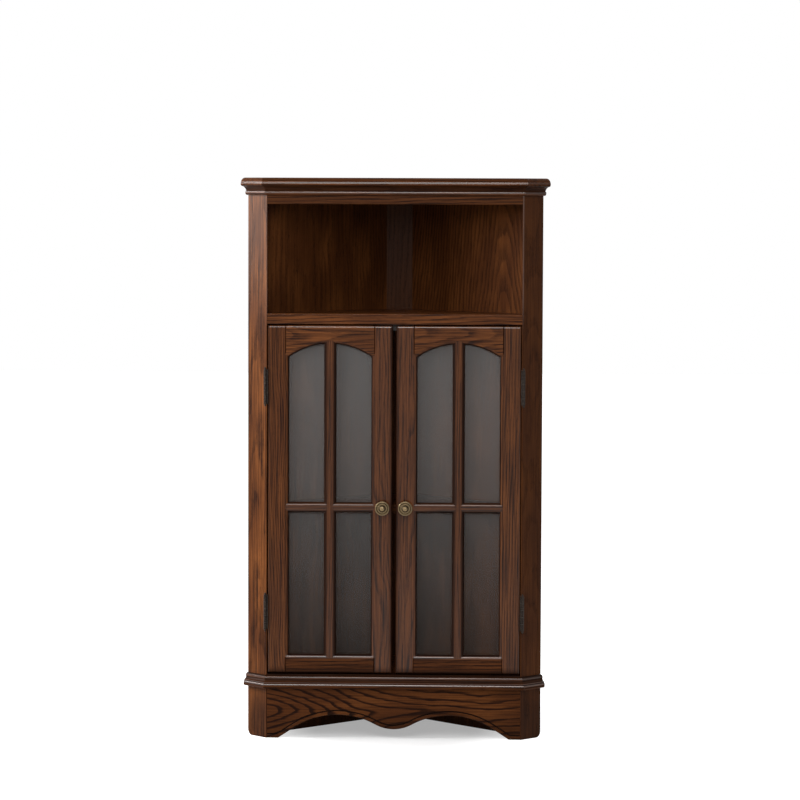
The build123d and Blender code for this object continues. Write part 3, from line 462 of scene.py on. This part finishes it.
def apron_glaze(finish, x, y, z):
    """Painted shade in the groove above the apron's bead, and thinly towards the feet."""
    groove = finish.between(y - FRONT, 0.4, 4.2, soft=0.9)
    groove = groove * finish.between(z, 2.0, 112.0, soft=1.0)
    return finish.clamp(groove * 0.9 + (1.0 - finish.fade(z, 15.0, 75.0)) * 0.42)


def apron_climb(finish, run):
    """The log narrows fast at the left end, which draws the flames, and hardly at the right."""
    return finish.fade(run, -360.0, 40.0) * 90.0 + run * 0.03


def apron_figure(finish, run):
    """The flames are bold at the left and fade to faint lines at the right."""
    return 0.88 - finish.fade(run, -170.0, 60.0) * 0.22


dress_rail("top_rail", seed=44.0, pith=(60.0, 60.0), tone=0.69, warmth=0.3, sheen=0.02)
dress_rail("niche_floor", seed=47.0, pith=(-120.0, 30.0), tone=0.8, warmth=0.5)
dress_rail("niche_rail", seed=49.0, pith=(45.0, 55.0), tone=1.05, warmth=0.6, sheen=0.08)
dress_rail("cabinet_floor", seed=52.0, pith=(-120.0, 20.0), tone=0.8, warmth=0.3,
           glaze=ledge_glaze)
dress_rail("display_shelf", seed=55.0, pith=(-110.0, 40.0), tone=0.6, warmth=0.3, sheen=0.0)
dress_rail("front_apron", seed=58.6, pith=(-4.0, -3.0), ring=14.0, climb=apron_climb, sway=12.0,
           tone=0.86, warmth=0.7, figure=apron_figure, line=0.4, contrast=0.55, sheen=0.0,
           glaze=apron_glaze)
print("floors, rails and apron dressed")

# %% [markdown]
# ## Mouldings
# The cornice and the base moulding each run round three sides and meet in mitres. All lengths are
# cut from the same kind of stick, with narrow rings, and the painted shade in their hollows makes
# the lines that the eye follows round the cabinet. The heights in the base moulding's masks are
# counted from its foot, as its section is drawn.

# %% Base moulding and cornice
BASE_FOOT = 108.0  # underside of the base moulding


def base_band(finish, z, low, high, soft):
    """1 between two heights above the foot of the base moulding."""
    return finish.between(z, BASE_FOOT + low, BASE_FOOT + high, soft)


def base_glaze(finish, x, y, z):
    """Painted shade in the two hollows of the base moulding and on its top."""
    cove = base_band(finish, z, 13.6, 21.0, soft=1.0)
    under_fillet = base_band(finish, z, 9.8, 12.0, soft=0.8)
    top = finish.fade(z, BASE_FOOT + 25.2, BASE_FOOT + 26.4)
    return (cove + under_fillet) * 0.6 + top * 0.8


def base_polish(finish, x, y, z):
    """The lip of the quarter round, the fillet and the upper side of the nose."""
    lip = base_band(finish, z, 21.0, 25.4, soft=1.2)
    fillet = base_band(finish, z, 11.8, 13.8, soft=0.5)
    return (lip + fillet) * 0.55 + base_band(finish, z, 6.5, 10.6, soft=1.2)


base_looks = {
    "glaze": base_glaze, "polish": base_polish, "tone": 0.65, "figure": 0.35, "sheen": 0.0,
}
stick = {"pith": (40.0, 50.0), "ring": 4.4}
for place, seed, looks in (("cornice", 61.0, crown_looks), ("base_moulding", 70.0, base_looks)):
    dress_rail("front_" + place, seed=seed, **stick, **looks)
    for name, side in (("left_", -1), ("right_", 1)):
        dress_slanted(name + place, "x", side, seed=seed + 2.0 + side, **stick, **looks)
print("mouldings dressed")

# %% [markdown]
# ## Door frames
# A stile is cut with straight grain so that it stays flat. The arched rails are cut from wider
# stock, and the arch runs through their flames. Each rail meets its stiles in a fine groove, which
# holds glaze and so shows as a dark line. The two doors share every number but the seed and the
# side, because a maker cuts both from one plan.

# %% Painted shade, joint lines and polish on the doors
FREE_EDGE, HINGE_EDGE = 4.0, 270.0      # of each door, from the middle of the cabinet
DOOR_FOOT, DOOR_HEAD = 141.0, 886.0     # lower and upper edge of the doors
INNER_JOINT, OUTER_JOINT = 42.0, 232.0  # where a door's rails meet its two stiles
PANE_FOOT = 174.0                       # lower edge of the lowest panes
CROSS_BAR_MIDDLE = 497.4                # height of the cross bars


def door_glaze(finish, x, y, z):
    """Painted shade beside the panes, along the free edge and at the foot of a door, and dark joint
    lines.
    """
    back = y - FRONT
    aside = finish.math("ABSOLUTE", x)
    face = finish.between(aside, FREE_EDGE + 4.0, HINGE_EDGE - 4.0, soft=0.5)
    face = face * finish.between(z, DOOR_FOOT + 4.0, DOOR_HEAD - 4.0, soft=0.5)
    beside_glass = finish.fade(back, 1.0, 3.4) * (1.0 - finish.fade(back, 9.4, 10.4)) * face
    inner = finish.between(aside, INNER_JOINT - 1.6, INNER_JOINT + 1.6, soft=0.4)
    outer = finish.between(aside, OUTER_JOINT - 1.6, OUTER_JOINT + 1.6, soft=0.4)
    joints = finish.fade(back, 0.15, 0.9) * (inner + outer)
    # painted shade along the free edge and at the foot of a door
    unshaded = finish.fade(aside, FREE_EDGE, FREE_EDGE + 9.0)
    unshaded = unshaded * finish.fade(z, DOOR_FOOT, DOOR_FOOT + 17.0)
    return finish.clamp(beside_glass + joints + (1.0 - unshaded) * 0.9) * 0.88


def door_polish(finish, x, y, z):
    """The rounded upper and outer edges of a door, and the moulded edge under its panes."""
    aside = finish.math("ABSOLUTE", x)
    under_panes = finish.between(z, PANE_FOOT - 1.5, PANE_FOOT + 6.0, soft=1.5)
    under_panes = under_panes * finish.between(aside, INNER_JOINT, OUTER_JOINT, soft=1.0)
    upper_edge = finish.fade(z, DOOR_HEAD - 5.0, DOOR_HEAD - 3.0)
    outer_edge = finish.fade(aside, HINGE_EDGE - 4.0, HINGE_EDGE - 2.0)
    return (upper_edge + under_panes) * 0.6 + outer_edge * 0.25


def upright_bar_glaze(finish, x, y, z):
    """Painted shade down both sides of the rounded upright bar."""
    aside = finish.math("ABSOLUTE", x) - (INNER_JOINT + OUTER_JOINT) / 2
    return finish.fade(finish.math("ABSOLUTE", aside), 4.0, 9.5) * 0.85


def cross_bar_glaze(finish, x, y, z):
    """Painted shade along the lower side of the rounded cross bars, and a little above them."""
    off_foot = finish.fade(z, CROSS_BAR_MIDDLE - 9.9, CROSS_BAR_MIDDLE - 3.4)
    near_top = finish.fade(z, CROSS_BAR_MIDDLE + 5.6, CROSS_BAR_MIDDLE + 9.6)
    return (1.0 - off_foot * (1.0 - near_top * 0.8)) * 0.85


print("masks for the doors ready")

# %% Door frames
frame_looks = {"glaze": door_glaze, "polish": door_polish, "contrast": 1.1}
bar_looks = {"ring": 4.0, "figure": 0.3, "rough": 0.35, "tone": 0.74}
for name, side, shift in (("left_door_", -1, 0.0), ("right_door_", 1, 17.0)):
    dress_upright(name + "hinge_stile", seed=71.0 + shift, pith=(70.0 * side, 45.0), ring=4.6,
                  tone=0.85, warmth=0.5, figure=0.4, sheen=0.16 + 0.05 * side, **frame_looks)
    dress_upright(name + "meeting_stile", seed=74.0 + shift, pith=(24.0 * side, 60.0), sway=20.0,
                  tone=0.9, warmth=0.15, figure=0.4, sheen=0.28, **frame_looks)
    dress_rail(name + "arched_rail", seed=76.0 + shift, pith=(20.0, 30.0), sway=16.0, tilt=0.06,
               tone=0.9, warmth=0.7, figure=0.4, sheen=0.12, **frame_looks)
    dress_rail(name + "bottom_rail", seed=78.0 + shift, pith=(35.0, 40.0), tone=0.7, figure=0.4,
               sheen=0.02, **frame_looks)
    dress_upright(name + "upright_bar", seed=80.0 + shift, pith=(50.0, 30.0), sheen=0.25,
                  glaze=upright_bar_glaze, **bar_looks)
    dress_rail(name + "cross_bars", seed=83.0 + shift, pith=(30.0, 40.0), sheen=0.34,
               glaze=cross_bar_glaze, **bar_looks)
    dress_upright(name + "glazing_beads", seed=85.0 + shift, pith=(50.0, 30.0), ring=4.0, tone=0.7)
print("door frames dressed")

# %% [markdown]
# ## Raw pine
# Nobody stains what nobody sees: the glue blocks under the top and behind the apron are sawn pine
# with a plain pale face, wide soft rings and a furry surface. Noise stretched along the block gives
# the rings, so that a small hidden piece needs no log of its own.

# %% Pine finish
PINE_PALE = (0.6, 0.42, 0.24, 1)
PINE_DARK = (0.42, 0.25, 0.11, 1)


def pine():
    """Sawn pine with the grain along x."""
    finish = Finish("raw_pine", Specular_IOR_Level=0.25)
    place = finish.place()
    stretch = finish.node("ShaderNodeMapping", {}, {"Vector": place, "Scale": (9, 160, 160)})
    band = finish.cloud(stretch, 1.0)
    saw = finish.cloud(place, 1400.0, detail=1.0)
    colour = finish.mix(finish.fade(band, 0.35, 0.7), PINE_PALE, PINE_DARK)
    bump = finish.bump(saw, strength=0.4, distance=0.0003)
    finish.feed(Base_Color=colour, Roughness=0.7 + saw * 0.2, Normal=bump)
    return finish.material


raw_pine = pine()
dress("apron_blocks", raw_pine)
dress("top_blocks", raw_pine)
print("glue blocks dressed")

# %% [markdown]
# ## Glass
# Clear glass in front of a dark inside shows its surroundings as a soft grey veil, more of it high
# up than near the floor, and a film of dust adds to it. A refracting shader needs many samples to
# say so little, and the rare rays that a mirroring pane sends off show as bright specks. So the
# pane is a thin grey film, mostly see-through, and without a mirror reflection. Its grey is a
# painted reflection, paler high up, with smears and dust in it.

# %% Glass finish
# painted reflection of the surroundings: darker low on the pane, paler high up
PAINTED_REFLECTION_LOW = (0.08, 0.075, 0.07, 1)
PAINTED_REFLECTION_HIGH = (0.385, 0.37, 0.36, 1)


def clear_glass():
    """A see-through film whose grey is a painted reflection, paler high up, with smears and dust.
    """
    finish = Finish("clear_glass", Specular_IOR_Level=0.0, IOR=1.52, Alpha=0.14)
    place = finish.place()
    _, _, z = finish.millimetres(place)
    smear = finish.cloud(place, 7.0, detail=3.0)
    dust = finish.cloud(place, 60.0)
    # painted reflection, paler high up, with smears and dust
    pale = finish.fade(z, 60.0, 800.0) + (smear - 0.5) * 0.2 + (dust - 0.5) * 0.06
    reflection_and_dust = finish.mix(finish.clamp(pale), PAINTED_REFLECTION_LOW, PAINTED_REFLECTION_HIGH)
    finish.feed(Base_Color=reflection_and_dust, Roughness=dust * 0.04 + 0.01)
    return finish.material


glass = clear_glass()
dress("left_door_glass", glass)
dress("right_door_glass", glass)
print("glass dressed")

# %% [markdown]
# ## Brass knobs
# The knobs are turned brass that has darkened in its hollows and worn bright on the rim and the
# dome. The distance from a knob's own axis says which of its turned rings a point is on, so one
# finish does for the whole knob, and each knob has its own because each has its own axis.

# %% Antique brass
WORN_BRASS = (0.16, 0.116, 0.063, 1)
BRASS_GRIME = (0.026, 0.019, 0.012, 1)


def antique_brass(name, axis_x, axis_z):
    """Brass that is dark in the hollow inside the rim and round the neck."""
    finish = Finish(name, Metallic=1.0)
    place = finish.place()
    x, _, z = finish.millimetres(place)
    x = x - axis_x
    z = z - axis_z
    radius = (x * x + z * z) ** 0.5
    grime = finish.cloud(place, 420.0, detail=3.0)
    hollow = finish.between(radius, 10.4, 12.6, soft=0.7)
    neck = finish.between(radius, 4.4, 7.8, soft=0.8)
    dirt = finish.math("MAXIMUM", hollow, neck) * 0.8 + finish.fade(grime, 0.45, 0.75) * 0.4
    dirt = finish.clamp(dirt)
    finish.feed(
        Base_Color=finish.mix(dirt, WORN_BRASS, BRASS_GRIME),
        Roughness=0.3 + dirt * 0.3,
        Normal=finish.bump(grime, strength=0.15, distance=0.0003),
    )
    return finish.material


for name in ("left_door_", "right_door_"):
    x, _, z = middle(name + "knob")
    dress(name + "knob", antique_brass(name + "brass", x, z))
print("knobs dressed")

# %% [markdown]
# ## Hinges, screws and catch
# The butt hinges and their screws have a dark bronze finish. The other screws and the strike plates
# are zinc-plated steel, the catch is brown plastic with bare magnets, and the shelf lies on brass
# pins. All of these are small, so one recipe of two close tones, patchy gloss and a fine grain does
# for each of them.

# %% Other metals and plastic
def mottled(name, light, dark, metallic, rough, scale):
    """A plain part's finish: two close tones, patchy gloss and a fine grain."""
    finish = Finish(name, Metallic=metallic)
    place = finish.place()
    patch = finish.cloud(place, scale, detail=3.0)
    fine = finish.cloud(place, scale * 9.0)
    colour = finish.mix(finish.fade(patch, 0.35, 0.7), dark, light)
    bump = finish.bump(fine, strength=0.2, distance=0.0002)
    finish.feed(Base_Color=colour, Roughness=rough + patch * 0.2, Normal=bump)
    return finish.material


bronze = mottled("dark_bronze", light=(0.032, 0.024, 0.018, 1), dark=(0.01, 0.007, 0.006, 1),
                 metallic=0.85, rough=0.32, scale=260.0)
steel = mottled("zinc_steel", light=(0.62, 0.61, 0.58, 1), dark=(0.42, 0.42, 0.41, 1),
                metallic=1.0, rough=0.25, scale=400.0)
magnet = mottled("magnet_steel", light=(0.3, 0.3, 0.31, 1), dark=(0.2, 0.2, 0.21, 1),
                 metallic=1.0, rough=0.35, scale=500.0)
plastic = mottled("brown_plastic", light=(0.02, 0.012, 0.008, 1), dark=(0.014, 0.008, 0.006, 1),
                  metallic=0.0, rough=0.5, scale=300.0)
pin_brass = mottled("shelf_pin_brass", light=(0.6, 0.45, 0.2, 1), dark=(0.4, 0.28, 0.12, 1),
                    metallic=1.0, rough=0.28, scale=350.0)

for side in ("left_", "right_"):
    for node in ("frame_hinge_leaves", "hinge_pins", "frame_hinge_screws", "door_hinge_leaves",
                 "door_hinge_screws"):
        dress(side + node, bronze)
    for node in ("door_knob_screw", "door_strike_plate", "door_strike_screw"):
        dress(side + node, steel)
dress("catch_housing", plastic)
dress("catch_magnets", magnet)
dress("catch_screws", steel)
dress("shelf_pins", pin_brass)
print("hinges, screws, catch and pins dressed")

# %% [markdown]
# ## The floor
# A pale floor carries the cabinet's shadow. Lighting it until it turns white would burn out the
# wood, so it gives off its own white, but only to rays that the camera sees, and less of it near
# the cabinet, where the shadow lies.

# %% Floor
WHITE = (1, 1, 1, 1)


def seen_rays(graph):
    """1 for what the camera sees, straight or by way of metal and glass."""
    camera_ray, mirror_ray, glass_ray = [
        graph.node("ShaderNodeLightPath", {}, {}, "Is " + kind + " Ray")
        for kind in ("Camera", "Glossy", "Transmission")
    ]
    return graph.clamp(camera_ray + mirror_ray + glass_ray)


def pale_floor():
    """White for the camera away from the cabinet, and plain pale near it so that a shadow shows."""
    finish = Finish("pale_floor", Base_Color=(0.6, 0.6, 0.6, 1), Roughness=0.9)
    x, y, _ = finish.split(finish.place())
    # An oval, longer from front to back, because the shadow falls that way.
    away = finish.fade((x * x * 2.2 + y * y) ** 0.5, 0.24, 0.5)
    strength = seen_rays(finish) * (away * 0.62 + 0.38)
    glow = finish.node("ShaderNodeEmission", {}, {"Color": WHITE, "Strength": strength})
    plain = Signal(finish, finish.shader.outputs[0])
    both = finish.node("ShaderNodeAddShader", {}, {0: plain, 1: glow})
    finish.connect(both, finish.tree.nodes["Material Output"].inputs["Surface"])
    return finish.material


floor_mesh = bpy.data.meshes.new("studio_floor")
floor_form = bmesh.new()
bmesh.ops.create_grid(floor_form, x_segments=1, y_segments=1, size=14.0)
floor_form.to_mesh(floor_mesh)
floor_form.free()
floor_mesh.materials.append(pale_floor())
studio_floor = bpy.data.objects.new("studio_floor", floor_mesh)
bpy.context.scene.collection.objects.link(studio_floor)
print("floor laid")

# %% [markdown]
# ## The light all round
# An even white world fills the shadows. It is at full strength only for what the camera sees and
# for what metal mirrors, so the backdrop is white and the brass has something bright to show. The
# light that it throws on the wood is about a quarter of that, and the lamps model the forms.

# %% World
FILL = 0.26

world = bpy.data.worlds.new("studio")
bpy.context.scene.world = world
world.use_nodes = True
surroundings = Graph(world.node_tree)
background = surroundings.tree.nodes["Background"]
strength = seen_rays(surroundings) * (1.0 - FILL) + FILL
surroundings.connect(strength, background.inputs["Strength"])
surroundings.connect(WHITE, background.inputs["Color"])
print("world lit")

# %% [markdown]
# ## Lamps
# Three soft lamps, as in a studio. A broad one at the left lights the left cant. A slim one stands
# behind it at the side, and its reflection brightens the left post. A high one in front draws the
# bright lines along the mouldings. Flat area lamps are used because their size sets how soft the
# shadows and how long those lines are.

# %% Lamps
def soft_lamp(name, place, aim, width, height, watts):
    """A flat lamp that faces a point."""
    data = bpy.data.lights.new(name, "AREA")
    data.shape = "RECTANGLE"
    data.size = width
    data.size_y = height
    data.energy = watts
    lamp = bpy.data.objects.new(name, data)
    lamp.location = place
    lamp.rotation_euler = (Vector(aim) - Vector(place)).to_track_quat("-Z", "Y").to_euler()
    bpy.context.scene.collection.objects.link(lamp)


soft_lamp("left_lamp", place=(-2.3, -0.6, 1.8), aim=(0.0, -0.1, 0.8),
          width=1.4, height=1.2, watts=84.0)
soft_lamp("rim_lamp", place=(-2.2, 0.35, 1.5), aim=(-0.3, -0.1, 0.9),
          width=0.45, height=1.4, watts=24.0)
soft_lamp("front_lamp", place=(-0.12, -3.3, 2.3), aim=(0.0, -0.1, 0.8),
          width=0.95, height=1.9, watts=60.0)
print("lamps hung")

# %% [markdown]
# ## The camera
# Its place was worked out from points of the cabinet whose real positions are known: far away and
# a little to the right, looking slightly down. Three turns in a row say that plainly: swing about
# the vertical, nod up from looking straight down, and roll about the line of sight.

# %% Camera
CAMERA_PLACE = (0.2456, -7.152125, 1.1724)
LOOKS_LEFT, LOOKS_DOWN, LEANS = 1.9107, 3.6296, 0.1986  # degrees

camera_data = bpy.data.cameras.new("camera")
camera_data.sensor_width = 36.0
camera_data.lens = 148.259
camera = bpy.data.objects.new("camera", camera_data)
swing = Matrix.Rotation(math.radians(LOOKS_LEFT), 4, "Z")
nod = Matrix.Rotation(math.radians(90.0 - LOOKS_DOWN), 4, "X")
roll = Matrix.Rotation(math.radians(LEANS), 4, "Z")
camera.matrix_world = Matrix.Translation(CAMERA_PLACE) @ swing @ nod @ roll
bpy.context.scene.collection.objects.link(camera)
bpy.context.scene.camera = camera
bpy.context.scene.view_settings.view_transform = "Standard"
print("camera at", [round(v, 3) for v in camera.location])
